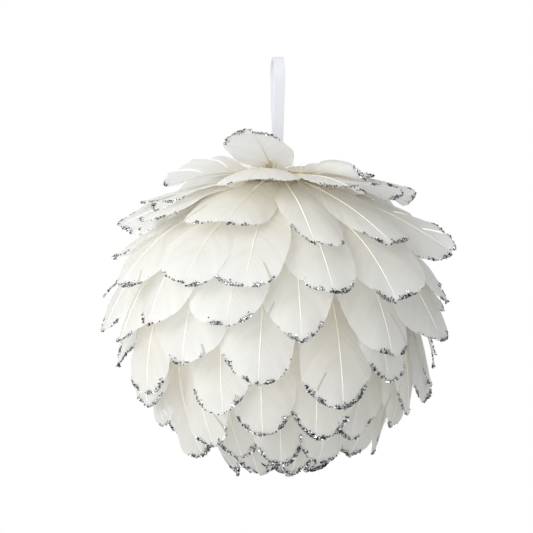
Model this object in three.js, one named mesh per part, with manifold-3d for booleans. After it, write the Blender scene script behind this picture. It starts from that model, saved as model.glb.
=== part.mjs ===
// Feather ball ornament: a foam ball shingled with goose feathers, hung from a loop of thin ribbon.
// Millimetres, +Z up, the front faces -Y. The origin is where the loop bears on its hook.
import * as THREE from "three";
import { mergeVertices } from "three/addons/utils/BufferGeometryUtils.js";
import Module from "manifold-3d";

const wasm = await Module();
wasm.setup();

// ---- driving dimensions ----
const GAP = 0.3; // kept between pieces that touch
const DROP = 77.5; // from the hook down to the centre of the ball

const CORE_R = 35; // foam ball, 70 mm across
const CORE_SIDES = 24;
const POCKET_R = 5; // blind hole in the top of the foam, for the ribbon's ends
const POCKET_DEPTH = 9;

const RIBBON_W = 3.4;
const RIBBON_T = 0.4;
const LOOP_TURN = 7; // degrees that the loop's plane is turned out of the Y-Z plane
const BIGHT_R = 6; // inside radius of the bend that sits on the hook
const BIGHT_STEPS = 9; // odd, so that a flat lies level at the top
const FOOT_TOP = -28; // where the two strands of the loop meet
const FOOT_END = -30; // lower end of the loop
const DOUBLE_T = 1.7; // the two strands laid together
const NECK_H = 2.4;
const NECK_GAP_X = 0.9; // room to bend fore and aft
const NECK_GAP_Y = 1.2; // room to bend sideways, more because the ribbon is wide that way
const NECK_GAP_Z = 0.5; // room to twist
const TAIL_END = 28; // above the ball's centre

const FEATHER_T = 0.5;
const ROOT_R = CORE_R + GAP + FEATHER_T / 2 + 0.05; // the quill's mid-line where it leaves the foam
const QUILL_HALF = 0.9;
const BEAD_H = 1.0; // hot-melt bead that holds a whole row of quills
const BEAD_W = 1.8;

// Rows of feathers from the top down. root is the polar angle of the quill ends on the foam,
// width the broadest part of a feather, and arch the angle between a quill's first direction and
// the straight line to its tip. Each feather is [azimuth, polar angle of its tip, reach], with the
// azimuth from the front towards +X in degrees and reach the tip's distance from the ball's centre.
const ROWS = [
  {
    name: "crown",
    root: 9,
    width: 21,
    arch: 8,
    feathers: [
      [-112, 38, 52], [-75, 44, 54], [-18, 23, 58.5], [65, 36, 52],
      [115, 40, 53], [165, 36, 52], [208, 42, 54],
    ],
  },
  {
    name: "collar",
    root: 14,
    width: 22,
    arch: 8,
    feathers: [
      [-100, 55, 53], [-68, 55, 53], [-13, 41, 55], [32, 43, 51], [76, 50, 52.5],
      [104, 55, 54], [140, 50, 53], [178, 53, 53], [218, 50, 53],
    ],
  },
  {
    name: "shoulder",
    root: 20,
    width: 24,
    arch: 10,
    feathers: [
      [-92, 66, 55], [-66, 62, 52], [-21, 61, 50], [16, 69, 51.5], [47, 69, 52], [82, 74, 58],
      [112, 68, 54], [143, 64, 54], [175, 68, 53], [207, 63, 54], [238, 67, 54],
    ],
  },
  {
    name: "upper",
    root: 28,
    width: 25,
    arch: 20,
    feathers: [
      [-84, 75, 54.5], [-64, 84, 55], [-33, 85, 55], [-9, 86, 55], [20, 87, 54.5], [46, 90, 54.7],
      [78, 89, 55], [108, 86, 55], [138, 83, 55], [168, 86, 55], [200, 84, 55], [232, 87, 55],
    ],
  },
  {
    name: "row_5",
    root: 42,
    width: 26,
    arch: 23,
    feathers: [
      [-86, 100, 57], [-49, 98, 54.5], [-18, 99, 54.5], [8, 104, 54.5], [43, 108, 54.7],
      [71, 104, 55], [92, 94, 53], [122, 103, 55], [150, 100, 55], [178, 104, 55],
      [206, 99, 55], [236, 103, 55],
    ],
  },
  {
    name: "row_6",
    root: 57,
    width: 25,
    arch: 20,
    feathers: [
      [-96, 112, 57], [-70, 104, 54], [-37, 112, 55], [-6, 119, 55], [46, 117, 55], [74, 118, 55],
      [92, 120, 55.5], [118, 115, 55], [146, 118, 55], [174, 113, 55], [202, 117, 55],
      [232, 114, 55],
    ],
  },
  {
    name: "row_7",
    root: 71,
    width: 24,
    arch: 20,
    feathers: [
      [-84, 129, 54], [-62, 123, 55], [-25, 130, 55], [29, 128, 55], [68, 130, 56], [92, 126, 56],
      [120, 128, 55], [148, 125, 55], [176, 130, 55], [204, 127, 55], [236, 129, 55],
    ],
  },
  {
    name: "row_8",
    root: 84,
    width: 22,
    arch: 20,
    feathers: [
      [-86, 138, 54], [-42, 147, 55], [-8, 141, 55], [19, 142, 55], [44, 142, 55], [68, 136, 56],
      [96, 145, 56], [125, 142, 55], [155, 145, 55], [185, 141, 55], [215, 144, 55],
      [245, 142, 55],
    ],
  },
  {
    name: "row_9",
    root: 98,
    width: 18,
    arch: 20,
    feathers: [
      [-90, 149, 56], [-60, 152, 55], [-30, 156, 55], [0, 158, 55], [30, 156, 55], [60, 152, 55],
      [90, 149, 57], [120, 154, 55], [150, 157, 55], [180, 154, 55], [210, 157, 55],
      [240, 153, 55],
    ],
  },
  {
    name: "row_10",
    root: 112,
    width: 14,
    arch: 18,
    feathers: [
      [-70, 168, 56], [-25, 170, 56], [20, 168, 56], [65, 170, 56], [110, 168, 56],
      [155, 170, 56], [200, 168, 56], [245, 170, 56],
    ],
  },
  {
    name: "closing",
    root: 127,
    width: 13,
    arch: 18,
    feathers: [
      [-45, 176, 54], [20, 177, 54], [85, 176, 54], [145, 177, 54], [200, 176, 54], [262, 177, 54],
    ],
  },
];
const SINGLE_ROWS = 4; // rows from the top whose feathers are a node each

// ---- materials ----
const feather = new THREE.MeshStandardMaterial({ color: 0xf4f2ea, roughness: 0.7, side: THREE.DoubleSide });
const foam = new THREE.MeshStandardMaterial({ color: 0xf2f2f0, roughness: 0.9 });
const satin = new THREE.MeshStandardMaterial({ color: 0xe6e8f0, roughness: 0.45 });
const glue = new THREE.MeshStandardMaterial({ color: 0xe8e2cc, roughness: 0.35 });

// ---- helpers ----
const rad = THREE.MathUtils.degToRad;

function named(name, geometry, material) {
  const mesh = new THREE.Mesh(geometry, material);
  mesh.name = name;
  return mesh;
}

function toSolid(geometry) {
  const bare = geometry.clone();
  bare.deleteAttribute("normal");
  bare.deleteAttribute("uv");
  const merged = mergeVertices(bare, 1e-4);
  return new wasm.Manifold(
    new wasm.Mesh({
      numProp: 3,
      vertProperties: new Float32Array(merged.attributes.position.array),
      triVerts: new Uint32Array(merged.index.array),
    }),
  );
}

function toGeometry(solid) {
  const mesh = solid.getMesh();
  const geometry = new THREE.BufferGeometry();
  geometry.setAttribute("position", new THREE.BufferAttribute(mesh.vertProperties, 3));
  geometry.setIndex(new THREE.BufferAttribute(mesh.triVerts, 1));
  geometry.computeVertexNormals();
  return geometry;
}

// A point of the ball's half-plane: distance from the centre and polar angle to (radius, height).
function polarPoint(reach, polar) {
  return new THREE.Vector2(reach * Math.sin(rad(polar)), reach * Math.cos(rad(polar)));
}

// A closed lathe about Z from points (radius, height).
function turned(points, sides) {
  return new THREE.LatheGeometry(points, sides).rotateX(Math.PI / 2);
}

// ---- foam ball with its pocket ----
function foamCore() {
  const rim = Math.asin(POCKET_R / CORE_R);
  const steps = 16;
  const points = [];
  for (let i = 0; i <= steps; i++) {
    const angle = Math.PI - (i / steps) * (Math.PI - rim);
    const radius = i === 0 ? 0 : CORE_R * Math.sin(angle);
    points.push(new THREE.Vector2(radius, CORE_R * Math.cos(angle)));
  }
  const floor = CORE_R - POCKET_DEPTH;
  points.push(new THREE.Vector2(POCKET_R, floor), new THREE.Vector2(0, floor));
  return named("foam_core", turned(points, CORE_SIDES), foam);
}

// ---- hot-melt plug that fills the pocket round the ribbon's ends ----
function gluePlug() {
  const floor = CORE_R - POCKET_DEPTH + GAP;
  const radius = POCKET_R - GAP - 0.1;
  const edge = CORE_R - 0.6;
  const points = [
    new THREE.Vector2(0, floor),
    new THREE.Vector2(radius, floor),
    new THREE.Vector2(radius, edge),
    new THREE.Vector2(radius * 0.6, edge + 0.5),
    new THREE.Vector2(0, edge + 0.7),
  ];
  const slotFloor = TAIL_END - GAP;
  const slotHeight = CORE_R - slotFloor + 2;
  const slot = new THREE.BoxGeometry(RIBBON_W + 2 * GAP, DOUBLE_T + 2 * GAP, slotHeight);
  slot.translate(0, 0, slotFloor + slotHeight / 2);
  const plug = toSolid(turned(points, 24)).subtract(toSolid(slot));
  return named("glue_plug", toGeometry(plug), glue);
}

// ---- ribbon ----
// One side of the loop's outline, offset outwards by d: the bight's arc, then straight to the foot.
function loopOutline(d) {
  const radius = BIGHT_R + d;
  const facet = Math.PI / BIGHT_STEPS;
  const centre = -BIGHT_R * Math.cos(facet / 2); // puts the level flat of the inside at z = 0
  const points = [];
  for (let i = 0; i <= BIGHT_STEPS; i++) {
    points.push(new THREE.Vector2(radius * Math.cos(i * facet), centre + radius * Math.sin(i * facet)));
  }
  return points;
}

function ribbonLoop() {
  const half = DOUBLE_T / 2;
  const outer = loopOutline(RIBBON_T);
  outer.push(new THREE.Vector2(-half, FOOT_TOP));
  outer.push(new THREE.Vector2(-half, FOOT_END));
  outer.push(new THREE.Vector2(half, FOOT_END));
  outer.push(new THREE.Vector2(half, FOOT_TOP));
  const inner = loopOutline(0);
  inner.push(new THREE.Vector2(-half + RIBBON_T, FOOT_TOP));
  inner.push(new THREE.Vector2(half - RIBBON_T, FOOT_TOP));
  const shape = new THREE.Shape(outer);
  shape.holes.push(new THREE.Path(inner));
  const geometry = new THREE.ExtrudeGeometry(shape, { depth: RIBBON_W, bevelEnabled: false });
  geometry.translate(0, 0, -RIBBON_W / 2);
  geometry.rotateX(Math.PI / 2);
  geometry.rotateZ(Math.PI / 2 + rad(LOOP_TURN));
  return named("ribbon_loop", geometry, satin);
}

// A stretch of the doubled ribbon from height top down to height bottom.
function doubled(name, top, bottom) {
  const geometry = new THREE.BoxGeometry(RIBBON_W, DOUBLE_T, top - bottom);
  const mesh = named(name, geometry, satin);
  mesh.position.z = (top + bottom) / 2;
  return mesh;
}

function ribbonGroup() {
  const group = new THREE.Group();
  const upperTop = FOOT_END - NECK_GAP_X;
  const lowerTop = upperTop - NECK_H - NECK_GAP_Y;
  const tailTop = lowerTop - NECK_H - NECK_GAP_Z;
  group.add(ribbonLoop());
  group.add(doubled("ribbon_neck_upper", upperTop, upperTop - NECK_H));
  group.add(doubled("ribbon_neck_lower", lowerTop, lowerTop - NECK_H));
  group.add(doubled("ribbon_tails", tailTop, TAIL_END - DROP));
  return group;
}

// ---- feathers ----
// Stations along a feather, as a share of its length, with the half-width there as a share of the
// broadest: a bare quill, a vane that widens, and a round tip.
const BROADEST = 0.7;
const STATIONS = [0, 0.13, 0.3, 0.5, BROADEST, 0.86, 0.95, 1];

function outlineShare(s) {
  if (s > BROADEST) return Math.sqrt(1 - ((s - BROADEST) / (1 - BROADEST)) ** 2);
  return THREE.MathUtils.smoothstep(s, 0, BROADEST) ** 0.8;
}

// The mid-line of a feather in the half-plane of its azimuth, from its root on the foam to its tip.
function spine(root, polar, reach, arch) {
  const start = polarPoint(ROOT_R, root);
  const end = polarPoint(reach, polar);
  const chord = end.clone().sub(start);
  const lifted = chord.clone().rotateAround(new THREE.Vector2(), rad(arch));
  const middle = start.clone().addScaledVector(lifted, 0.5);
  return new THREE.QuadraticBezierCurve(start, middle, end);
}

// A feather is a thin box whose stations follow the spine and whose width wraps round the ball.
// It stops half-way to the neighbours on each side, whose azimuths are given.
function featherGeometry(row, index) {
  const [azimuth, polar, reach] = row.feathers[index];
  const count = row.feathers.length;
  const before = row.feathers[(index + count - 1) % count][0] - (index === 0 ? 360 : 0);
  const after = row.feathers[(index + 1) % count][0] + (index === count - 1 ? 360 : 0);
  const curve = spine(row.root, polar, reach, row.arch);
  const last = STATIONS.length - 1;
  const geometry = new THREE.BoxGeometry(1, 1, 1, last, 2, 1);
  const position = geometry.attributes.position;
  for (let i = 0; i < position.count; i++) {
    const s = STATIONS[Math.round((position.getX(i) + 0.5) * last)];
    const side = Math.round(position.getY(i) * 2);
    const lift = Math.sign(position.getZ(i)) * FEATHER_T / 2;
    const point = curve.getPoint(s);
    const along = curve.getTangent(s);
    point.x += -along.y * lift;
    point.y += along.x * lift;
    const room = rad(side < 0 ? azimuth - before : after - azimuth) / 2 * point.x - GAP;
    const half = Math.min(Math.max(row.width / 2 * outlineShare(s), QUILL_HALF), Math.max(room, 0.3));
    const angle = rad(azimuth) + side * half / point.x;
    position.setXYZ(i, point.x * Math.sin(angle), -point.x * Math.cos(angle), point.y);
  }
  geometry.computeVertexNormals();
  return geometry;
}

// The flattened bead of glue round the foam that a row's quills are set in.
function glueBead(root) {
  const low = ROOT_R - FEATHER_T / 2 - 0.05;
  const half = THREE.MathUtils.radToDeg(BEAD_W / 2 / CORE_R);
  const points = [
    polarPoint(low, root + half),
    polarPoint(low + BEAD_H, root + half),
    polarPoint(low + BEAD_H, root - half),
    polarPoint(low, root - half),
    polarPoint(low, root + half),
  ];
  return turned(points, CORE_SIDES);
}

function singleFeathers(row) {
  return row.feathers.map((_, i) =>
    named(`feather_${row.name}_${i + 1}`, featherGeometry(row, i), feather));
}

function joinedRow(row) {
  const ring = row.feathers.reduce(
    (joined, _, i) => joined.add(toSolid(featherGeometry(row, i))),
    toSolid(glueBead(row.root)),
  );
  return named(`feather_${row.name}`, toGeometry(ring), feather);
}

function ballGroup() {
  const group = new THREE.Group();
  group.add(foamCore(), gluePlug());
  ROWS.forEach((row, i) => group.add(...(i < SINGLE_ROWS ? singleFeathers(row) : [joinedRow(row)])));
  group.position.z = -DROP;
  return group;
}

const ornament = new THREE.Group();
ornament.add(ribbonGroup(), ballGroup());

export default ornament;
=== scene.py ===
"""Feather ball ornament: goose feathers with glittered tips on a foam ball, hung from a satin ribbon.

Lengths are in millimetres and angles in degrees, except where a call or a name says metres.
The feathers are laid out about the ball's centre; +Z is up and the front faces -Y.
"""

import math

import bpy
import numpy as np
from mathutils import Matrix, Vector


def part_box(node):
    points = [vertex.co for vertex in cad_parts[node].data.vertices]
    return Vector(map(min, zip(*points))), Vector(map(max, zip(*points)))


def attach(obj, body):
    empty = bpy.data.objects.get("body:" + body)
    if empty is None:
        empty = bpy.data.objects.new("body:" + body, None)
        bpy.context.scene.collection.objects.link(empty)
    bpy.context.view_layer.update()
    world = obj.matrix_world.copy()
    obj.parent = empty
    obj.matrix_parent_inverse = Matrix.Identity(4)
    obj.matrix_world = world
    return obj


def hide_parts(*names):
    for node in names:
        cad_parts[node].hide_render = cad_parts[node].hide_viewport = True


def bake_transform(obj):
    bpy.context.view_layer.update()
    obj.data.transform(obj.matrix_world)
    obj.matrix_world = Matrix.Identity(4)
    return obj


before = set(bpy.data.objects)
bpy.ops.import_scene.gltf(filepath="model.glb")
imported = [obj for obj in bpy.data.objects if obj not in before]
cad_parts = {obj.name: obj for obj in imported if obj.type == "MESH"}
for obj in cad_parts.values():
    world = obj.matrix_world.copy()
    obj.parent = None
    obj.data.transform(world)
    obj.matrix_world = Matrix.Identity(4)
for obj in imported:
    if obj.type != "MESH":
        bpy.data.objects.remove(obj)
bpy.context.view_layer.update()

MM = 0.001

# ---- places taken from the frame ----
core_low, core_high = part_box("foam_core")
CORE_R = (core_high.x - core_low.x) / 2 / MM
CENTRE_Z = core_low.z / MM + CORE_R

# ---- camera and stage, in metres ----
CAMERA_DISTANCE = 1.0  # from the ball's centre plane
CAMERA_X = -0.0035
CAMERA_Z = -0.0668
VIEW_WIDTH = 0.1706  # at the ball's centre plane
SENSOR = 36.0  # millimetres
FLOOR_Z = -0.30
FLOOR_R = 1.3
SKY_LIGHT = 0.745  # the sky's mean strength as a light
SKY_SLOPE = 0.38  # how much brighter it is on the side the light comes from
LIGHT_FROM = (-0.85, -0.45, 0.3)
KEY_LIGHT = dict(place=(-0.75, -0.65, 0.35), size=0.6, watts=5.0)
FILL_LIGHT = dict(place=(-0.45, -0.85, -0.2), size=0.5, watts=1.3)

# ---- ribbon ----
RIBBON_W = 3.4
RIBBON_T = 0.22
SELVAGE_R = 0.17  # of the cord along each edge
LOOP_TURN = 7.0  # of the loop's plane about the vertical
BIGHT_R = 6.2  # centreline of the bend on the hook
BIGHT_Z = -5.91
FOOT_HALF = 0.65  # half the distance between the strands where they lie together
FOOT_Z = -28.0
LOOP_END = -32.1  # heights where the ribbon's three pieces meet
NECK_END = -35.7
TAIL_END = -49.4
NECK_STEPS = 14
TAIL_STEPS = 30
LOOP_BEND = (-29.5, -31.4)  # a pair of heights for each of the ribbon's three pieces
NECK_BEND = (-33.0, -34.8)
TAIL_BEND = (-36.0, -44.0)

# ---- feathers ----
FEATHER_SEED = 71
ROOT_R = CORE_R + 0.6  # how far from the ball's centre quills start, before a row's rise
VANE_END = 0.985  # where the last barb leaves the quill, as a share of the quill's length
BARBS = 84  # faces along the vane
ACROSS = 8  # faces from the quill to the edge of the vane
FRAY_TURNS = 40  # how often the edge's raggedness, notches and waves change along a vane
NOTCH_TURNS = 9
RIPPLE_TURNS = 6
QUILL_STEPS = 120
PAST_TIP = 1.2  # how far the quill's line is worked out, as a share of its length
QUILL_R = 0.42
QUILL_TIP_R = 0.05
QUILL_FOOT_R = 0.25  # how much thicker the quill is at its foot
TIER = 0.7  # how far every second feather of a row stands out
DOWN_W = 0.8
DOWN_LENGTH = (4, 9)
DOWN_SPLAY = (30, 140)  # from the quill
DOWN_LIFT = (-4.5, 2.5)
GLITTER_PER_MM = 26
CLUMP_STEPS = 200  # along the edge, in the curve that says how thick the glitter is
FLAKE_R = (0.12, 0.3)
FLAKE_OFF = (0.06, 0.28)  # from the surface it lies on
BEAD_SEED = 72
BEAD_LOW = CORE_R + 0.3
BEAD_HALF_HIGH = 0.5
BEAD_HALF_WIDE = 0.9

ROSETTE = dict(bare=0.03, full=0.45, down=44)  # what the three top rows share

# Rows from the top down, with the CAD's names and numbers. Some feathers stand a few degrees or
# millimetres off their CAD plates. root is the polar angle of a row's quill ends, rise how far they
# stand above ROOT_R, width the broadest part of a feather, and arch the angle between a quill's first
# direction and the straight line to its tip. bare is the share of the quill without barbs, full how
# the vane widens from there (smaller is sooner), down the number of loose downy barbs, cream_and_shade
# how much creamier the row is (partly the feathers' own cream, partly painted warm shade, most on the
# lower rows under the ball), glitter how much of it there is (1 is usual), and coarse how big its
# flakes are.
# Each feather is (azimuth, polar angle of its tip, reach from the ball's centre).
ROWS = [
    dict(name="crown", root=6, rise=5.8, width=21, arch=8, cream_and_shade=-0.1, **ROSETTE, feathers=[
        (-112, 38, 52), (-75, 45.3, 52), (-20, 23, 57), (62, 39.5, 48),
        (115, 40, 53), (165, 36, 52), (208, 42, 54)]),
    dict(name="collar", root=8, rise=4.8, width=22, arch=8, cream_and_shade=-0.1, **ROSETTE, feathers=[
        (-100, 55, 53), (-68, 55, 50), (-13, 41, 55), (38, 48, 52), (76, 50, 52.5),
        (104, 54.5, 57), (140, 50, 53), (178, 53, 53), (218, 50, 53)]),
    dict(name="shoulder", root=10, rise=4, width=24, arch=10, cream_and_shade=-0.05, **ROSETTE, feathers=[
        (-92, 66, 55), (-66, 62, 52), (-21, 62, 50), (12.5, 70, 51.5), (45.5, 69, 52.5),
        (82, 75.5, 58), (112, 68, 54), (143, 64, 54), (175, 68, 53), (207, 63, 54), (238, 67, 54)]),
    dict(name="upper", root=28, width=25, arch=20, feathers=[
        (-84, 76, 53), (-64, 85, 55), (-33, 85, 55), (-9, 86, 55), (18, 87, 54.5), (42, 90, 54.7),
        (74, 91, 55), (108, 86, 55), (138, 83, 55), (168, 86, 55), (200, 84, 55), (232, 87, 55)]),
    dict(name="row_5", root=42, width=26, arch=23, feathers=[
        (-86, 100, 57), (-49, 98, 54.5), (-16, 98, 54.5), (8, 103, 54.5), (43, 108, 54.7),
        (66, 104, 55), (92, 94, 53), (122, 103, 55), (150, 100, 55), (178, 104, 55),
        (206, 99, 55), (236, 103, 55)]),
    dict(name="row_6", root=57, width=25, arch=20, feathers=[
        (-96, 112, 57), (-70, 104, 54), (-37, 110.5, 55), (-6, 117.5, 55), (43, 117, 55),
        (74, 113, 54.5), (92, 120, 55.5), (118, 115, 55), (146, 118, 55), (174, 113, 55),
        (202, 117, 55), (232, 114, 55)]),
    dict(name="row_7", root=71, cream_and_shade=0.08, width=24, arch=20, feathers=[
        (-84, 129, 54), (-62, 122, 55), (-25, 129, 55), (25, 126.5, 55), (68, 130, 56), (92, 126, 56),
        (120, 128, 55), (148, 125, 55), (176, 130, 55), (204, 127, 55), (236, 129, 55)]),
    dict(name="row_8", root=84, cream_and_shade=0.12, coarse=1.15, width=22, arch=20, feathers=[
        (-86, 138, 54), (-42, 145.5, 55), (-8, 138.5, 55), (17, 140, 55), (44, 142, 55), (68, 136, 56),
        (96, 145, 56), (125, 142, 55), (155, 145, 55), (185, 141, 55), (215, 144, 55),
        (245, 142, 55)]),
    dict(name="row_9", root=98, cream_and_shade=0.15, glitter=1.5, coarse=1.2, width=18, arch=20, feathers=[
        (-90, 149, 56), (-60, 152, 55), (-30, 156, 55), (0, 158, 55), (30, 156, 55), (60, 152, 55),
        (90, 149, 57), (120, 154, 55), (150, 157, 55), (180, 154, 55), (210, 157, 55),
        (240, 153, 55)]),
    dict(name="row_10", root=112, cream_and_shade=0.15, glitter=1.9, coarse=1.4, width=14, arch=18, feathers=[
        (-70, 168, 56), (-25, 170, 56), (20, 168, 56), (65, 170, 56), (110, 168, 56),
        (155, 170, 56), (200, 168, 56), (245, 170, 56)]),
    dict(name="closing", root=127, cream_and_shade=0.15, glitter=1.9, coarse=1.4, width=13, arch=18, feathers=[
        (-45, 176, 54), (20, 177, 54), (85, 176, 54), (145, 177, 54), (200, 176, 54),
        (262, 177, 54)]),
]
SINGLE_ROWS = 4  # rows from the top whose feathers are a CAD node each

# What sets single feathers apart, by row and number. Side 1 is right of the quill, seen from outside
# with the tip down, and side -1 is left of it.
#   turn: roll about the quill, side 1 outwards
#   bow: radius that the vane bends round across the quill; a negative one curls it outwards
#   skew: how much wider side 1 is
#   sweep: the tip's shift towards side 1
#   slant: how far side 1 of the tip stands past the other
#   curl: the tip's lift
#   ripple: height of the waves along the edge
#   broadest: place of the broadest part along the quill
#   blunt: bigger is blunter
#   shine: place along the edge where the glitter starts
#   splits: gaps between barbs, as (side, place along the edge, share of a barb left whole, width)
#   strands: bundles of barbs that hang loose, as (side, place along the edge, length, splay)
# width, bare, full, down, cream_and_shade and glitter mean what they do in ROWS. Each value is used as it
# stands, in place of the row's and of what chance would give.
SPECIAL = {
    ("crown", 2): dict(turn=35, width=20, skew=0.3, ripple=1.2, broadest=0.72, full=0.8, shine=0.93,
                       splits=[(1, 0.58, 0.2, 3.0), (1, 0.78, 0.15, 2.4), (-1, 0.88, 0.25, 2.0)]),
    ("crown", 3): dict(turn=0, bow=30, width=23, skew=0.0, slant=-0.1, broadest=0.66, blunt=2.7,
                       cream_and_shade=-0.3, shine=0.68, glitter=1.1, splits=[]),
    ("crown", 4): dict(turn=0, bow=-1.9, width=11, skew=0, curl=0, bare=0.18, down=0, shine=0.72,
                       glitter=0.7, splits=[]),
    ("collar", 2): dict(ripple=1.8),
    ("collar", 3): dict(turn=0, bow=26, width=26.5, curl=-2.2, blunt=2.7, cream_and_shade=0.1, down=150,
                        shine=0.72, glitter=0.35, splits=[]),
    ("collar", 4): dict(turn=-9, width=21, shine=0.62, splits=[]),
    ("collar", 6): dict(turn=26, width=25, ripple=1.6, splits=[(-1, 0.8, 0.4, 1.4)]),
    ("shoulder", 1): dict(turn=-30, ripple=1.6, splits=[(1, 0.7, 0.3, 1.0), (1, 0.85, 0.5, 0.6)]),
    ("shoulder", 2): dict(turn=4, ripple=1.6),
    ("shoulder", 3): dict(turn=-12, width=29, skew=-0.25, sweep=0.0, blunt=3.0, cream_and_shade=0.3, down=150,
                          splits=[(-1, 0.7, 0.6, 0.5)]),
    ("shoulder", 4): dict(turn=0, width=20.5, skew=0.3, sweep=1.2, slant=0.55, broadest=0.62,
                          blunt=1.9, down=150, splits=[]),
    ("shoulder", 5): dict(turn=8, skew=0.4, sweep=1.0, slant=0.05, ripple=1.1,
                          splits=[(1, 0.62, 0.4, 0.5), (1, 0.72, 0.3, 0.6), (1, 0.8, 0.5, 0.4)]),
    ("shoulder", 6): dict(turn=26, width=27, ripple=1.8, broadest=0.6, blunt=1.9,
                          splits=[(-1, 0.66, 0.3, 1.6), (1, 0.6, 0.35, 2.6), (1, 0.74, 0.3, 2.4),
                                  (1, 0.88, 0.25, 1.2)]),
    ("upper", 2): dict(splits=[(1, 0.85, 0.6, 0.4)], strands=[(-1, 0.96, 7, 62)]),
    ("upper", 5): dict(width=23, skew=-0.1, splits=[(-1, 0.5, 0.5, 0.6)]),
    ("upper", 6): dict(turn=20, width=27, skew=0.3, sweep=0.0, slant=0.1, ripple=1.5,
                       splits=[(-1, 0.55, 0.5, 0.5)]),
    ("row_5", 1): dict(turn=-16),
    ("row_5", 4): dict(width=25.5, sweep=0.0, slant=0.0, broadest=0.58, blunt=1.6),
    ("row_5", 6): dict(width=28),
    ("row_6", 6): dict(turn=0, width=7, sweep=2.0, shine=0.86,
                       splits=[(1, 0.6, 0.2, 1.5), (-1, 0.75, 0.2, 1.5)],
                       strands=[(1, 0.72, 9, 12), (1, 0.5, 6, 25)]),
    ("row_7", 1): dict(turn=-25),
    ("row_7", 4): dict(turn=0, skew=-0.1, glitter=2.2, shine=0.72),
    ("row_8", 1): dict(turn=-15, shine=0.88),
    ("row_8", 3): dict(width=21),
    ("row_8", 4): dict(blunt=1.7, glitter=2.2),
    ("row_8", 6): dict(shine=0.88),
    ("row_8", 7): dict(shine=0.88),
    ("row_9", 1): dict(turn=-15, blunt=1.3, shine=0.88),
    ("row_9", 2): dict(turn=-12, shine=0.85),
    ("row_9", 6): dict(turn=10, shine=0.85),
    ("row_9", 7): dict(shine=0.88),
}


# ---- small helpers ----
def smooth(x, low, high):
    """0 below low, 1 above high, and a smooth step between."""
    t = np.clip((x - low) / (high - low), 0, 1)
    return t * t * (3 - 2 * t)


def polar_point(reach, polar):
    """A point of the ball's half-plane as (distance from the axis, height)."""
    return reach * np.array([math.sin(math.radians(polar)), math.cos(math.radians(polar))])


def lengths_along(line):
    """How far along a line of points each of them is."""
    return np.concatenate([[0], np.cumsum(np.linalg.norm(np.diff(line, axis=0), axis=1))])


def unit(vectors):
    """Rows of vectors at length 1."""
    return vectors / np.maximum(np.linalg.norm(vectors, axis=1), 1e-9)[:, None]


def wander(rng, count, knots):
    """A smooth random curve of count numbers from -1 to 1 that turns about knots times."""
    values = rng.uniform(-1, 1, knots + 3)
    x = np.linspace(0, knots, count)
    i = x.astype(int)
    f = smooth(x - i, 0, 1)
    return values[i] * (1 - f) + values[i + 1] * f


def make_mesh(name, points, faces, materials, slots=None, uv=None, values=None, flat=False):
    """An object from points in the frame's millimetres. slots gives each face's material, uv a pair for
    each point, and values a list of numbers for each point by name."""
    mesh = bpy.data.meshes.new(name)
    mesh.from_pydata((np.asarray(points, float) * MM).tolist(), [], faces)
    for material in materials:
        mesh.materials.append(material)
    mesh.polygons.foreach_set("use_smooth", [not flat] * len(mesh.polygons))
    if slots is not None:
        mesh.polygons.foreach_set("material_index", slots)
    if uv is not None:
        corners = np.zeros(len(mesh.loops), np.int32)
        mesh.loops.foreach_get("vertex_index", corners)
        layer = mesh.uv_layers.new(name="UVMap")
        layer.data.foreach_set("uv", np.asarray(uv, np.float32)[corners].ravel())
    for key, numbers in (values or {}).items():
        attribute = mesh.attributes.new(key, "FLOAT", "POINT")
        attribute.data.foreach_set("value", np.asarray(numbers, np.float32))
    mesh.update()
    obj = bpy.data.objects.new(name, mesh)
    bpy.context.scene.collection.objects.link(obj)
    return obj


def grid_faces(rows, columns, closed=False):
    """Quads of a grid of rows x columns points, with the last column joined to the first if closed."""
    faces = []
    for r in range(rows - 1):
        for c in range(columns if closed else columns - 1):
            d = (c + 1) % columns
            faces.append((r * columns + c, r * columns + d,
                          (r + 1) * columns + d, (r + 1) * columns + c))
    return faces


def tube_faces(rows, sides):
    """Faces of a tube of rows rings, each of sides points, with both ends closed."""
    last = (rows - 1) * sides
    ends = [tuple(range(sides)), tuple(last + i for i in reversed(range(sides)))]
    return grid_faces(rows, sides, closed=True) + ends


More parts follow.
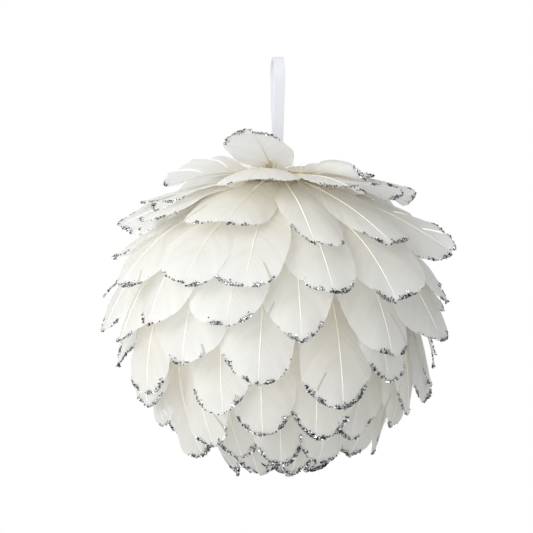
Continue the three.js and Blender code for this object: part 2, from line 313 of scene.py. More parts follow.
class Nodes:
    """A material's node tree, with a call for each pattern used here."""

    def __init__(self, name):
        self.material = bpy.data.materials.new(name)
        self.material.use_nodes = True
        self.tree = self.material.node_tree
        self.shader = self.tree.nodes["Principled BSDF"]
        self.output = self.tree.nodes["Material Output"]

    def add(self, kind, **settings):
        node = self.tree.nodes.new("ShaderNode" + kind)
        for key, value in settings.items():
            setattr(node, key, value)
        return node

    def link(self, source, target):
        self.tree.links.new(source, target)

    def object_place(self):
        return self.add("TexCoord").outputs["Object"]

    def uv(self):
        return self.add("UVMap", uv_map="UVMap").outputs["UV"]

    def attribute(self, name):
        return self.add("Attribute", attribute_name=name).outputs["Fac"]

    def stretched(self, vector, scale):
        node = self.add("Mapping")
        node.inputs["Scale"].default_value = scale
        self.link(vector, node.inputs["Vector"])
        return node.outputs["Vector"]

    def noise(self, vector, scale=1.0, detail=2.0):
        node = self.add("TexNoise")
        node.inputs["Scale"].default_value = scale
        node.inputs["Detail"].default_value = detail
        self.link(vector, node.inputs["Vector"])
        return node.outputs["Fac"]

    def ramp(self, value, stops):
        """stops are (place, colour) pairs."""
        node = self.add("ValToRGB")
        elements = node.color_ramp.elements
        while len(elements) < len(stops):
            elements.new(0.5)
        for element, (place, colour) in zip(elements, stops):
            element.position = place
            element.color = (*colour, 1)
        self.link(value, node.inputs["Fac"])
        return node.outputs["Color"]

    def times(self, share, first, second):
        """first multiplied by second, by that share."""
        node = self.add("Mix", data_type="RGBA", blend_type="MULTIPLY")
        node.inputs["Factor"].default_value = share
        self.link(first, node.inputs[6])
        self.link(second, node.inputs[7])
        return node.outputs[2]

    def weighed(self, first, weight, second):
        """first times weight, plus second."""
        node = self.add("Math", operation="MULTIPLY_ADD")
        self.link(first, node.inputs[0])
        node.inputs[1].default_value = weight
        self.link(second, node.inputs[2])
        return node.outputs[0]

    def colour(self, socket):
        self.link(socket, self.shader.inputs["Base Color"])

    def bump(self, height, strength, distance):
        """distance is in metres."""
        node = self.add("Bump")
        node.inputs["Strength"].default_value = strength
        node.inputs["Distance"].default_value = distance
        self.link(height, node.inputs["Height"])
        self.link(node.outputs["Normal"], self.shader.inputs["Normal"])
        return node.outputs["Normal"]

    def let_light_through(self, share, colour, normal):
        """Mixes a Translucent shader of that colour with the surface."""
        translucent = self.add("BsdfTranslucent")
        self.link(colour, translucent.inputs["Color"])
        self.link(normal, translucent.inputs["Normal"])
        mix = self.add("MixShader")
        mix.inputs["Fac"].default_value = share
        self.link(self.shader.outputs["BSDF"], mix.inputs[1])
        self.link(translucent.outputs["BSDF"], mix.inputs[2])
        self.link(mix.outputs["Shader"], self.output.inputs["Surface"])

    def set(self, values):
        for key, value in values.items():
            self.shader.inputs[key].default_value = value


# ---- materials ----
def vane_material():
    """White goose vane: fine barbs that run out from the quill, creamier towards the root, partly the
    feather's own colour and partly painted warm shade where the next row covers it.
    """
    n = Nodes("goose_vane")
    uv = n.uv()
    barbs = n.noise(n.stretched(uv, (150, 2.5, 1)), detail=3)
    clumps = n.noise(n.stretched(uv, (16, 1.2, 1)), detail=1)
    # Creamier towards the root: the goose feather's own cream base, plus painted warm shade over the
    # covered part of each vane.
    ground = n.ramp(n.attribute("along"), [
        (0.05, (0.96, 0.93, 0.85)), (0.38, (0.967, 0.957, 0.915)),
        (0.65, (0.968, 0.967, 0.95)), (0.85, (0.966, 0.97, 0.97))])
    lines = n.ramp(barbs, [(0.3, (0.92, 0.92, 0.913)), (0.62, (1, 1, 1))])
    streaks = n.ramp(clumps, [(0.25, (0.895, 0.895, 0.883)), (0.6, (1, 1, 1))])
    colour = n.times(0.45, n.times(0.6, ground, lines), streaks)
    n.colour(colour)
    normal = n.bump(n.weighed(clumps, 2.4, barbs), 0.5, 0.0001)
    n.set({"Roughness": 0.6, "Specular IOR Level": 0.35, "Sheen Weight": 0.15, "Sheen Roughness": 0.4})
    n.let_light_through(0.6, colour, normal)
    return n.material


def quill_material():
    """Horn of the quill, amber at the root and almost white at the tip."""
    n = Nodes("quill_horn")
    streaks = n.noise(n.stretched(n.object_place(), (900, 900, 160)))
    ground = n.ramp(n.attribute("along"), [
        (0.0, (0.76, 0.66, 0.47)), (0.3, (0.89, 0.83, 0.69)),
        (0.7, (0.93, 0.905, 0.83)), (1.0, (0.95, 0.945, 0.92))])
    shade = n.ramp(streaks, [(0.3, (0.9, 0.88, 0.84)), (0.7, (1, 1, 1))])
    n.colour(n.times(0.6, ground, shade))
    n.bump(streaks, 0.2, 0.00004)
    n.set({"Roughness": 0.35})
    return n.material


def glitter_material():
    """Cut foil: every flake is one flat mirror. Bright ones are silver; black and dark grey ones are
    painted reflections of dark surroundings.
    """
    n = Nodes("glitter_foil")
    tint = n.ramp(n.noise(n.object_place(), 2500.0, detail=0.0), [
        (0.35, (0.93, 0.96, 1.0)), (0.5, (1, 1, 1)), (0.65, (1.0, 0.97, 0.92))])
    # Base colour by flake: black to dark grey is a painted reflection of dark surroundings, light grey to
    # white is the silver foil.
    ground = n.ramp(n.attribute("foil_and_painted_reflection"), [
        (0.0, (0.012, 0.013, 0.018)), (0.4, (0.12, 0.125, 0.14)),
        (0.8, (0.75, 0.76, 0.78)), (1.0, (0.97, 0.97, 0.98))])
    n.colour(n.times(1.0, ground, tint))
    n.set({"Metallic": 1.0, "Roughness": 0.18})
    return n.material


def satin_material():
    """Narrow polyester satin: floats run along the ribbon and fine ribs across it."""
    n = Nodes("ribbon_satin")
    uv = n.uv()
    floats = n.noise(n.stretched(uv, (0.6, 9.0, 1)), detail=2)
    ribs = n.noise(n.stretched(uv, (6.0, 0.8, 1)), detail=1)
    shade = n.ramp(floats, [(0.3, (0.90, 0.91, 0.945)), (0.7, (0.94, 0.95, 0.975))])
    n.colour(shade)
    normal = n.bump(n.weighed(ribs, 0.6, floats), 0.35, 0.00005)
    n.set({"Roughness": 0.38, "Sheen Weight": 0.3, "Sheen Roughness": 0.3})
    n.let_light_through(0.45, shade, normal)
    return n.material


def foam_material():
    """Expanded polystyrene: pressed beads with fine darker seams between them."""
    n = Nodes("foam_beads")
    beads = n.add("TexVoronoi", feature="DISTANCE_TO_EDGE")
    beads.inputs["Scale"].default_value = 380.0
    n.link(n.object_place(), beads.inputs["Vector"])
    depth = beads.outputs["Distance"]
    n.colour(n.ramp(depth, [(0.0, (0.80, 0.79, 0.77)), (0.12, (0.93, 0.93, 0.92))]))
    n.bump(depth, 0.5, 0.0004)
    n.set({"Roughness": 0.85})
    return n.material


def glue_material():
    """Hot-melt glue: milky amber with soft lumps."""
    n = Nodes("hot_melt")
    lumps = n.noise(n.object_place(), 700.0, detail=3)
    n.colour(n.ramp(lumps, [(0.3, (0.80, 0.74, 0.58)), (0.7, (0.90, 0.86, 0.74))]))
    n.bump(lumps, 0.4, 0.0003)
    n.set({"Roughness": 0.3})
    return n.material


# ---- camera ----
def make_camera():
    data = bpy.data.cameras.new("camera")
    data.sensor_width = SENSOR
    data.lens = SENSOR * CAMERA_DISTANCE / VIEW_WIDTH
    data.clip_start = 0.05
    data.clip_end = 20
    camera = bpy.data.objects.new("camera", data)
    camera.location = (CAMERA_X, -CAMERA_DISTANCE, CAMERA_Z)
    camera.rotation_euler = (math.radians(90), 0, 0)
    bpy.context.scene.collection.objects.link(camera)
    bpy.context.scene.camera = camera


# ---- ribbon ----
def loop_line():
    """The loop's centreline as (distance towards the front in the loop's plane, height): up the front
    strand, round the bight and down the back strand."""
    drop = BIGHT_Z - FOOT_Z
    wrap = math.degrees(math.atan2(drop, FOOT_HALF) - math.acos(BIGHT_R / math.hypot(FOOT_HALF, drop)))
    angles = np.radians(np.linspace(-wrap, 180 + wrap, 31))
    arc = np.stack([BIGHT_R * np.cos(angles), BIGHT_Z + BIGHT_R * np.sin(angles)], 1)
    foot = np.stack([np.full(8, FOOT_HALF), np.linspace(LOOP_END, FOOT_Z, 8)], 1)
    rise = np.linspace(foot[-1], arc[0], 26)[1:-1]
    mirror = (-1, 1)
    line = np.concatenate([foot, rise, arc, rise[::-1] * mirror, foot[::-1] * mirror])
    for _ in range(4):
        line[1:-1] = (line[:-2] + 2 * line[1:-1] + line[2:]) / 4
    return line


def ribbon_profile():
    """The ribbon's section as (across, out): two flat faces between a cord along each edge."""
    centre = RIBBON_W / 2 - SELVAGE_R
    meet = math.degrees(math.asin(RIBBON_T / 2 / SELVAGE_R))
    flat = centre - 0.1 - SELVAGE_R
    across = np.linspace(flat, -flat, 5)
    turn = np.radians(np.linspace(meet, 360 - meet, 9))
    cord = SELVAGE_R * np.stack([np.cos(turn), np.sin(turn)], 1)
    top = np.stack([across, np.full(5, RIBBON_T / 2)], 1)
    return np.concatenate([top, cord - (centre, 0), -top, (centre, 0) - cord])


def ribbon_axes():
    """The way the loop's plane runs to the front, the ribbon's width direction, and up."""
    turn = math.radians(LOOP_TURN)
    front = np.array([math.sin(turn), -math.cos(turn), 0])
    across = np.array([math.cos(turn), math.sin(turn), 0])
    return front, across, np.array([0, 0, 1])


def ribbon_strip(line, facing):
    """Points, faces and UVs of a strip along line. facing is its normal at each point. The UVs are
    millimetres along and across."""
    across = ribbon_axes()[1]
    profile = ribbon_profile()
    points = (line[:, None] + profile[None, :, 0, None] * across
              + profile[None, :, 1, None] * facing[:, None]).reshape(-1, 3)
    uv = np.stack(np.meshgrid(lengths_along(line), profile[:, 0], indexing="ij"), -1).reshape(-1, 2)
    return points, tube_faces(len(line), len(profile)), uv


def joined(parts):
    """Several (points, faces, uv) as one."""
    points, faces, uv, start = [], [], [], 0
    for some, more, place in parts:
        points.append(some)
        faces.extend(tuple(start + i for i in face) for face in more)
        uv.append(place)
        start += len(some)
    return np.concatenate(points), faces, np.concatenate(uv)


def loop_strip():
    """The loop's centreline in space, and its points, faces and UVs."""
    front, _, up = ribbon_axes()
    flat = loop_line()
    line = flat[:, :1] * front + flat[:, 1:] * up
    along = unit(np.gradient(flat, axis=0))
    facing = along[:, 1:] * front - along[:, :1] * up
    return line, ribbon_strip(line, facing)


def strip_pair(top, bottom, steps):
    """The two strands lying together, from one height down to another."""
    front, _, up = ribbon_axes()
    heights = np.linspace(top, bottom, steps)
    facing = np.tile(front, (steps, 1))
    return joined([ribbon_strip(side * FOOT_HALF * front + heights[:, None] * up, facing)
                   for side in (1, -1)])


def make_ribbon(satin):
    """The ribbon in three pieces, which take the place of the CAD's ribbon parts."""
    line, loop_parts = loop_strip()
    neck_parts = strip_pair(LOOP_END, NECK_END, NECK_STEPS)
    tail_parts = strip_pair(NECK_END, TAIL_END, TAIL_STEPS)
    shapes = (
        ("ribbon_loop_satin", loop_parts, "loop", "neck_upper", LOOP_BEND),
        ("ribbon_neck_satin", neck_parts, "neck_upper", "neck_lower", NECK_BEND),
        ("ribbon_tails_satin", tail_parts, "neck_lower", "ball", TAIL_BEND),
    )
    for name, (points, faces, uv), upper, lower, (start, end) in shapes:
        piece = make_mesh(name, points, faces, [satin], uv=uv)
        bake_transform(piece)
    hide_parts("ribbon_loop")
    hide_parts("ribbon_neck_upper", "ribbon_neck_lower")
    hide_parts("ribbon_tails")


# ---- feathers ----
def outline(width, tr):
    """A vane's edge on one side as (x, y) at even steps along it, from the bare quill to the tip, for a
    feather of length 1. width is the half-width as a share of the length."""
    bare, broadest, blunt = tr["bare"], tr["broadest"], tr["blunt"]
    s = bare + (1 - bare) * np.sin(np.linspace(0, math.pi / 2, 500))
    rise = np.sin(math.pi / 2 * np.clip((s - bare) / (broadest - bare), 0, 1)) ** tr["full"]
    fall = (1 - np.clip((s - broadest) / (1 - broadest), 0, 1) ** blunt) ** (1 / blunt)
    edge = np.stack([s, width * np.where(s < broadest, rise, fall)], 1)
    along = lengths_along(edge)
    even = np.linspace(0, along[-1], BARBS + 1)
    return np.stack([np.interp(even, along, edge[:, 0]), np.interp(even, along, edge[:, 1])], 1)


def spine(row, feather):
    """The quill's line in its half-plane, from the root to the tip (point QUILL_STEPS) and on past
    it: distances along, points and tangents."""
    _, polar, reach = feather
    start = polar_point(ROOT_R + row.get("rise", 0), row["root"])
    end = polar_point(reach, polar)
    chord = end - start
    arch = math.radians(row["arch"])
    lifted = np.array([chord[0] * math.cos(arch) - chord[1] * math.sin(arch),
                       chord[0] * math.sin(arch) + chord[1] * math.cos(arch)])
    middle = start + lifted / 2
    t = np.linspace(0, PAST_TIP, round(QUILL_STEPS * PAST_TIP) + 1)[:, None]
    points = (1 - t) ** 2 * start + 2 * t * (1 - t) * middle + t * t * end
    tangents = unit(2 * (1 - t) * (middle - start) + 2 * t * (end - middle))
    return lengths_along(points), points, tangents


def chance_splits(rng):
    """Up to two splits of a vane, as SPECIAL gives them."""
    return [(int(rng.choice([-1, 1])), rng.uniform(0.4, 0.95), rng.uniform(0.4, 0.8),
             rng.uniform(0.1, 0.5)) for _ in range(rng.integers(0, 3))]


def traits(row, index, rng):
    """What this feather is like: chance within limits, then what SPECIAL says."""
    found = dict(
        turn=rng.uniform(-9, 9),
        bow=rng.uniform(20, 40),
        skew=rng.uniform(-0.2, 0.2),
        sweep=rng.uniform(-1.8, 1.8),
        slant=rng.uniform(-0.22, 0.22),
        curl=rng.uniform(-0.6, 0.8),
        width=row["width"] * rng.uniform(1.0, 1.12),
        ripple=rng.uniform(0.8, 1.9),
        glitter=rng.uniform(0.8, 1.5) * row.get("glitter", 1),
        # How far the creamier root colour runs out: partly the feather's own cream, partly painted warm
        # shade, more on the lower rows where the ball's underside is in shade.
        cream_and_shade=rng.uniform(-0.05, 0.12) + row.get("cream_and_shade", 0),
        broadest=rng.uniform(0.6, 0.74),
        blunt=rng.uniform(1.9, 2.6),
        shine=rng.uniform(0.68, 0.84),
        splits=chance_splits(rng),
        bare=row.get("bare", 0.1),
        full=row.get("full", 0.62),
        down=row.get("down", 0),
        strands=[],
    )
    found.update(SPECIAL.get((row["name"], index + 1), {}))
    return found


def cut_foil(rng, middle, normal, over, coarse):
    """Points of six-sided flakes, one near each middle, tilted by chance from the surface, and a number for
    each point that picks the flake's colour: bright silver foil, or black as a painted reflection of dark
    surroundings. Coarser flakes are more often bright."""
    count = len(middle)
    face = rng.choice([-1.0, 1.0], count)[:, None]
    middle = middle + normal * face * rng.uniform(*FLAKE_OFF, (count, 1))
    tilted = unit(normal + rng.normal(0, 0.5, (count, 3)))
    first = unit(np.cross(tilted, over))
    second = np.cross(tilted, first)
    radius = coarse * rng.uniform(*FLAKE_R, (count, 1, 1))
    spin = rng.uniform(0, math.pi / 3, (count, 1)) + np.arange(6) * math.pi / 3
    corners = middle[:, None] + radius * (np.cos(spin)[..., None] * first[:, None]
                                          + np.sin(spin)[..., None] * second[:, None])
    # Some flakes, fewer when coarser, are painted black as reflections of dark surroundings; the rest are
    # bright silver.
    is_painted_dark_reflection = rng.random(count) < 0.55 - 0.5 * (coarse - 1)
    foil_and_painted_reflections = np.where(is_painted_dark_reflection, rng.uniform(0, 0.35, count), rng.uniform(0.8, 1, count))
    return corners.reshape(-1, 3), np.repeat(foil_and_painted_reflections, 6)


class Feather:
    """One feather: a vane of barbs on a grid and its quill, in the frame's millimetres."""

    def __init__(self, row_number, index):
        self.row = ROWS[row_number]
        self.rng = np.random.default_rng([FEATHER_SEED, row_number, index])
        self.traits = traits(self.row, index, self.rng)
        self.tier = TIER * (index % 2)
        self.azimuth = math.radians(self.row["feathers"][index][0])
        self.along, self.line, self.tangents = spine(self.row, self.row["feathers"][index])
        self.length = self.along[QUILL_STEPS]
        self.lay_barbs()

    def place(self, x, y, lift):
        """Points of the flat feather bent onto its spine: x along the quill, y across, lift outwards."""
        tr = self.traits
        share = x / self.length
        x = x + tr["slant"] * y * smooth(share, 0.5, 1)
        middle = [np.interp(x, self.along, self.line[:, i]) for i in (0, 1)]
        slope = [np.interp(x, self.along, self.tangents[:, i]) for i in (0, 1)]
        outward = np.array([math.sin(self.azimuth), -math.cos(self.azimuth), 0])
        sideways = np.array([math.cos(self.azimuth), math.sin(self.azimuth), 0])
        up = np.array([0, 0, 1])
        centre = middle[0][..., None] * outward + (middle[1][..., None] + CENTRE_Z) * up
        normal = slope[0][..., None] * up - slope[1][..., None] * outward
        turn = np.radians(tr["turn"]) * smooth(share, 0.05, 0.5)[..., None]
        across = np.cos(turn) * sideways + np.sin(turn) * normal
        normal = np.cos(turn) * normal - np.sin(turn) * sideways
        bend = y / tr["bow"]
        sag = tr["bow"] * (1 - np.cos(bend))
        tip = smooth(share, 0.45, 1.15)
        sideways_by = tr["bow"] * np.sin(bend) + tr["sweep"] * share ** 2
        out_by = lift - sag + tr["curl"] * tip * 2 + self.tier * smooth(share, 0.15, 0.6)
        return centre + sideways_by[..., None] * across + out_by[..., None] * normal

    def open_split(self, side, place, whole, gap, q, u):
        """Takes out the faces of a split, and says how far the barbs move away from it."""
        k = int(place * BARBS)
        first = int(round(whole * ACROSS))
        cut = slice(ACROSS + first, None) if side > 0 else slice(0, ACROSS - first)
        self.kept[k, cut] = False
        near = np.exp(-np.abs(q - (k + 0.5) / BARBS) / 0.07)[:, None]
        sense = np.where(np.arange(BARBS + 1) <= k, -1, 1)[:, None]
        return gap * smooth(u, whole, 1.25) * near * sense

    def half_vane(self, side, q):
        """x, y and lift of the barbs on one side, each barb from the quill to the ragged edge."""
        tr = self.traits
        rng = self.rng
        half = tr["width"] / 2 * (1 + side * tr["skew"]) / self.length
        edge = outline(half, tr) * self.length
        ragged = 0.02 + 0.06 * (1 - smooth(q, 0.1, 0.5))
        reach = 1 - ragged * (0.5 + 0.5 * wander(rng, BARBS + 1, FRAY_TURNS))
        reach -= 0.008 * rng.random(BARBS + 1)
        reach -= 0.03 * (0.5 + 0.5 * wander(rng, BARBS + 1, NOTCH_TURNS))
        u = np.linspace(0, 1, ACROSS + 1) * reach[:, None]
        base = self.length * (tr["bare"] + (VANE_END - tr["bare"]) * q ** 2.2)
        bend_x = base + 0.35 * (edge[:, 0] - base)
        bend_y = 0.6 * edge[:, 1]
        x = 2 * u * (1 - u) * bend_x[:, None] + (1 - u) ** 2 * base[:, None] + u * u * edge[:, :1]
        y = 2 * u * (1 - u) * bend_y[:, None] + u * u * edge[:, 1:]
        lift = tr["ripple"] * u ** 2 * wander(rng, BARBS + 1, RIPPLE_TURNS)[:, None]
        lift += 0.05 * u * rng.uniform(-1, 1, BARBS + 1)[:, None]
        run = unit(np.gradient(edge, axis=0))
        for which, place, whole, gap in tr["splits"]:
            if which == side:
                shift = self.open_split(side, place, whole, gap, q, u)
                x += shift * run[:, :1]
                y += shift * run[:, 1:]
                lift += 0.35 * shift
        return x, y, lift

    def lay_barbs(self):
        """The vane's grid: a row for each barb, and columns from the left edge over the quill to the
        right edge. Keeps the points, which faces are there, and the UVs."""
        q = np.linspace(0, 1, BARBS + 1)
        x = np.zeros((BARBS + 1, 2 * ACROSS + 1))
        y = np.zeros_like(x)
        lift = np.zeros_like(x)
        self.kept = np.ones((BARBS, 2 * ACROSS), bool)
        for side in (-1, 1):
            columns = slice(ACROSS, None) if side > 0 else slice(ACROSS, None, -1)
            x[:, columns], out, lift[:, columns] = self.half_vane(side, q)
            y[:, columns] = side * out
        self.grid = self.place(x, y, lift)
        self.flat = x, y
        # Place along the quill for the vane's colour, moved by the cream trait so the creamier root colour,
        # partly painted warm shade, reaches further out.
        self.share = x / self.length - self.traits["cream_and_shade"]
        self.uv = np.stack(np.meshgrid(q, np.linspace(0, 1, 2 * ACROSS + 1), indexing="ij"), -1)

    def vane(self):
        """(points, faces, uv, along) of the vane."""
        columns = 2 * ACROSS + 1
        faces = [face for face, keep in zip(grid_faces(BARBS + 1, columns), self.kept.ravel()) if keep]
        return self.grid.reshape(-1, 3), faces, self.uv.reshape(-1, 2), self.share.ravel()

    def quill(self):
        """(points, faces, uv, along) of the quill, a tapered tube with its ends closed."""
        share = np.concatenate([np.linspace(0, 0.2, 7), np.linspace(0.2, 0.965, 22)[1:]])
        radius = QUILL_R * (1 - share) ** 0.75 + QUILL_TIP_R + QUILL_FOOT_R * np.exp(-share / 0.12)
        turn = np.radians(np.arange(6) * 60)
        x = np.repeat(share[:, None] * self.length, 6, 1)
        y = radius[:, None] * np.cos(turn)
        lift = radius[:, None] * (np.sin(turn) * 0.9 + 0.1)
        points = self.place(x, y, lift).reshape(-1, 3)
        uv = np.stack([np.repeat(share, 6), np.tile(np.arange(6) / 6, len(share))], 1)
        return points, tube_faces(len(share), 6), uv, np.repeat(share, 6)

    def down(self):
        """(points, faces, uv, along) of the loose downy barbs at the foot of the vane."""
        rng = self.rng
        s = np.linspace(0, 1, 6)[:, None]
        points, faces = [], []
        for k in range(self.traits["down"]):
            side = 1 if k % 2 else -1
            splay = math.radians(rng.uniform(*DOWN_SPLAY))
            reach = rng.uniform(*DOWN_LENGTH)
            bend = rng.uniform(-0.3, 0.6) * s ** 2
            x = rng.uniform(0.02, 0.2) * self.length + reach * s * np.cos(splay - bend)
            y = side * reach * s * np.sin(splay - bend)
            half = DOWN_W / 2 * (1 - 0.75 * s) * np.array([-1, 1])
            lift = np.repeat(rng.uniform(*DOWN_LIFT) * s ** 1.5, 2, 1)
            strip = self.place(x - side * half * math.sin(splay), y + half * math.cos(splay), lift)
            faces.extend(tuple(12 * k + i for i in face) for face in grid_faces(6, 2))
            points.append(strip.reshape(-1, 3))
        points = np.concatenate(points)
        uv = np.stack([np.linspace(0, 0.2, len(points)), np.tile([0.4, 0.6], len(points) // 2)], 1)
        return points, faces, uv, np.full(len(points), 0.1)

    def strand(self, side, place, reach, splay, width=0.5):
        """(points, faces, uv, along) of a loose bundle of barbs that starts at the vane's edge."""
        column = ACROSS + side * ACROSS
        row = int(place * BARBS)
        s = np.linspace(0, 1, 8)[:, None]
        angle = math.radians(splay) * (1 - 0.5 * s)
        half = width / 2 * (1 - 0.5 * s) * np.array([-1, 1])
        x = self.flat[0][row, column - side] + reach * s * np.cos(angle)
        y = self.flat[1][row, column - side] + side * reach * s * np.sin(angle)
        points = self.place(x - side * half * np.sin(angle), y + half * np.cos(angle), 0.4 * s * np.ones(2))
        uv = np.stack(np.broadcast_arrays(place + 0.02 * s, np.array([0.4, 0.6])), -1)
        return points.reshape(-1, 3), grid_faces(8, 2), uv.reshape(-1, 2), np.full(16, 0.9)

    def foil_on(self, grid, row, column):
        """Points of flakes on a grid of points, at those rows and columns and between, and each point's
        colour number (silver foil or painted dark reflection).
        """
        i = row.astype(int)
        j = np.clip(column.astype(int), 0, grid.shape[1] - 2)
        a, b = (row - i)[:, None], (column - j)[:, None]
        middle = ((grid[i, j] * (1 - b) + grid[i, j + 1] * b) * (1 - a)
                  + (grid[i + 1, j] * (1 - b) + grid[i + 1, j + 1] * b) * a)
        down, over = grid[i + 1, j] - grid[i, j], grid[i, j + 1] - grid[i, j]
        normal = unit(np.cross(over, down))
        return cut_foil(self.rng, middle, normal, unit(over), self.row.get("coarse", 1))

    def edge_flakes(self, side, run):
        """Flakes in clumps along the edge on one side, which is run long, from shine to the tip."""
        tr = self.traits
        rng = self.rng
        gaps = 0.6 - 0.5 * tr["glitter"]
        clumps = smooth(wander(rng, CLUMP_STEPS, int(run / 2)), gaps - 0.65, gaps + 0.6)
        first = tr["shine"] + rng.uniform(-0.04, 0.04)
        count = int(GLITTER_PER_MM * tr["glitter"] * run * (1 - first))
        q = rng.uniform(first, 1, count)
        thick = np.interp(q, np.linspace(0, 1, CLUMP_STEPS), clumps)
        chosen = rng.random(count) < (0.06 + 0.94 * thick) * smooth(q, first, first + 0.08)
        q, thick = q[chosen], thick[chosen]
        inward = np.abs(rng.normal(0, 0.1 + 0.5 * thick))
        row = np.clip(q * BARBS, 0, BARBS - 1e-6)
        i = row.astype(int)
        barb = np.linalg.norm(self.grid[i, ACROSS + side * ACROSS] - self.grid[i, ACROSS], axis=1)
        t = np.clip(1 - inward / np.maximum(barb, 0.4), 0.2, 1)
        return self.foil_on(self.grid, row, ACROSS + side * t * ACROSS)

    def strand_flakes(self, strand):
        """Flakes along the middle of a strand, half as many as along an edge."""
        grid = self.strand(*strand)[0].reshape(-1, 2, 3)
        row = self.rng.uniform(1, len(grid) - 1, int(GLITTER_PER_MM * 0.5 * strand[2]))
        return self.foil_on(grid, row, np.full(len(row), 0.5))

    def flakes(self):
        """Points of this feather's glitter, six for each flake, and each point's colour number (silver foil
        or painted dark reflection).
        """
        edge = outline(self.traits["width"] / 2 / self.length, self.traits)
        run = lengths_along(edge)[-1] * self.length
        found = [self.edge_flakes(side, run) for side in (-1, 1)]
        found.extend(self.strand_flakes(strand) for strand in self.traits["strands"])
        return tuple(np.concatenate(group) for group in zip(*found))


def bead(row):
    """The lumpy ring of glue on the foam that holds a whole row's quills."""
    round_about, section = 120, 8
    azimuth = np.linspace(0, 2 * math.pi, round_about, endpoint=False)
    rng = np.random.default_rng([BEAD_SEED, int(row["root"])])
    swell = 1 + 0.18 * np.interp(azimuth, np.linspace(0, 2 * math.pi, 41), rng.uniform(-1, 1, 41))
    swell[-3:] = swell[0]  # closes the ring without a step
    turn = np.arange(section) * 2 * math.pi / section
    reach = BEAD_LOW + BEAD_HALF_HIGH + BEAD_HALF_HIGH * swell[:, None] * np.sin(turn)
    polar = math.radians(row["root"]) + BEAD_HALF_WIDE * swell[:, None] * np.cos(turn) / CORE_R
    ring = reach * np.sin(polar)
    points = np.stack([ring * np.sin(azimuth)[:, None], -ring * np.cos(azimuth)[:, None],
                       reach * np.cos(polar) + CENTRE_Z], -1).reshape(-1, 3)
    faces = grid_faces(round_about, section, closed=True)
    last = (round_about - 1) * section
    faces += [(last + c, last + (c + 1) % section, (c + 1) % section, c) for c in range(section)]
    uv = np.stack([np.repeat(azimuth, section), np.tile(turn, round_about)], 1)
    return points, faces, uv, np.zeros(len(points))


def feather_mesh(name, feathers, materials, extra=()):
    """One object of several feathers. extra is more parts, each with its material's number."""
    parts = []
    for feather in feathers:
        parts.append((feather.vane(), 0))
        parts.append((feather.quill(), 1))
        if feather.traits["down"]:
            parts.append((feather.down(), 0))
        parts.extend((feather.strand(*strand), 0) for strand in feather.traits["strands"])
    parts.extend(extra)
    points, faces, slots, uv, along, start = [], [], [], [], [], 0
    for (some, more, place, share), slot in parts:
        points.append(some)
        faces.extend(tuple(start + i for i in face) for face in more)
        slots.extend([slot] * len(more))
        uv.append(place)
        along.append(share)
        start += len(some)
    return make_mesh(name, np.concatenate(points), faces, materials, slots=slots,
                     uv=np.concatenate(uv), values={"along": np.concatenate(along)})


def make_glitter(name, feathers, foil):
    cut = [feather.flakes() for feather in feathers]
    points, foil_and_painted_reflections = (np.concatenate(group) for group in zip(*cut))
    faces = np.arange(len(points)).reshape(-1, 6).tolist()
    return make_mesh(name, points, faces, [foil], values={"foil_and_painted_reflection": foil_and_painted_reflections}, flat=True)


def stand_in(piece, node):
    """Puts a piece of feathers in its CAD node's place."""
    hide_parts(node)
    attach(piece, "ball")


def make_feathers(vane, quill, glue, foil):
    """A piece for each feather of the upper rows and for each lower row, and glitter for every row."""
    for row_number, row in enumerate(ROWS):
        name = row["name"]
        feathers = [Feather(row_number, i) for i in range(len(row["feathers"]))]
        if row_number < SINGLE_ROWS:
            for number, feather in enumerate(feathers, start=1):
                piece = feather_mesh(f"plume_{name}_{number}", [feather], [vane, quill])
                stand_in(piece, f"feather_{name}_{number}")
        else:
            piece = feather_mesh(f"plumes_{name}", feathers, [vane, quill, glue], [(bead(row), 2)])
            stand_in(piece, f"feather_{name}")
        sparkle = make_glitter(f"glitter_{name}", feathers, foil)
        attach(sparkle, "ball")


# ---- stage ----
def floor_material():
    n = Nodes("pale_floor")
    mottle = n.noise(n.object_place(), 3.0)
    n.colour(n.ramp(mottle, [(0.3, (0.77, 0.77, 0.765)), (0.7, (0.79, 0.79, 0.785))]))
    n.set({"Roughness": 0.9})
    return n.material


def make_floor():
    corners = np.linspace(0, 2 * math.pi, 64, endpoint=False)
    points = np.stack([FLOOR_R * np.cos(corners), FLOOR_R * np.sin(corners),
                       np.full(64, FLOOR_Z)], 1) / MM
    floor = make_mesh("floor", points, [tuple(range(64))], [floor_material()])


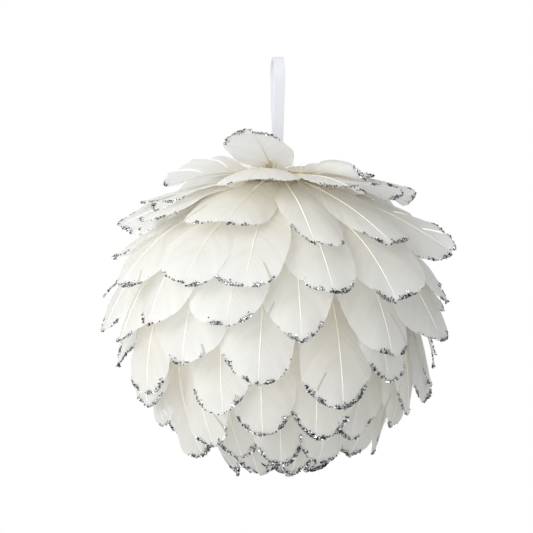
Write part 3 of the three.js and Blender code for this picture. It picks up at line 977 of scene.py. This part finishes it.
def make_light(name, place, size, watts):
    """A square soft light, aimed at the ball. place and size are in metres."""
    data = bpy.data.lights.new(name, "AREA")
    data.shape = "SQUARE"
    data.size = size
    data.energy = watts
    light = bpy.data.objects.new(name, data)
    light.location = place
    aim = np.array([0, 0, CENTRE_Z * MM]) - np.array(place)
    light.rotation_euler = Vector(aim).to_track_quat("-Z", "Y").to_euler()
    bpy.context.scene.collection.objects.link(light)


def make_world():
    """A white sky: full white where the camera sees it, and as a light dimmer and brightest on one side."""
    world = bpy.data.worlds.new("sky")
    bpy.context.scene.world = world
    world.use_nodes = True
    tree = world.node_tree
    background = tree.nodes["Background"]
    background.inputs["Color"].default_value = (1, 1, 1, 1)
    seen = tree.nodes.new("ShaderNodeBackground")
    seen.inputs["Color"].default_value = (1, 1, 1, 1)
    seen.inputs["Strength"].default_value = 1.0
    sides = tree.nodes.new("ShaderNodeVectorMath")
    sides.operation = "DOT_PRODUCT"
    sides.inputs[1].default_value = np.array(LIGHT_FROM) / np.linalg.norm(LIGHT_FROM)
    tree.links.new(tree.nodes.new("ShaderNodeTexCoord").outputs["Generated"], sides.inputs[0])
    strength = tree.nodes.new("ShaderNodeMath")
    strength.operation = "MULTIPLY_ADD"
    strength.inputs[1].default_value = SKY_SLOPE
    strength.inputs[2].default_value = SKY_LIGHT
    tree.links.new(sides.outputs["Value"], strength.inputs[0])
    tree.links.new(strength.outputs["Value"], background.inputs["Strength"])
    path = tree.nodes.new("ShaderNodeLightPath")
    mix = tree.nodes.new("ShaderNodeMixShader")
    tree.links.new(path.outputs["Is Camera Ray"], mix.inputs["Fac"])
    tree.links.new(background.outputs["Background"], mix.inputs[1])
    tree.links.new(seen.outputs["Background"], mix.inputs[2])
    tree.links.new(mix.outputs["Shader"], tree.nodes["World Output"].inputs["Surface"])


make_camera()
make_ribbon(satin_material())
glue = glue_material()
make_feathers(vane_material(), quill_material(), glue, glitter_material())
for node, material in (("foam_core", foam_material()), ("glue_plug", glue)):
    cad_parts[node].material_slots[0].material = material

make_floor()
make_light("key", **KEY_LIGHT)
make_light("fill", **FILL_LIGHT)
make_world()
bpy.context.scene.view_settings.view_transform = "Standard"
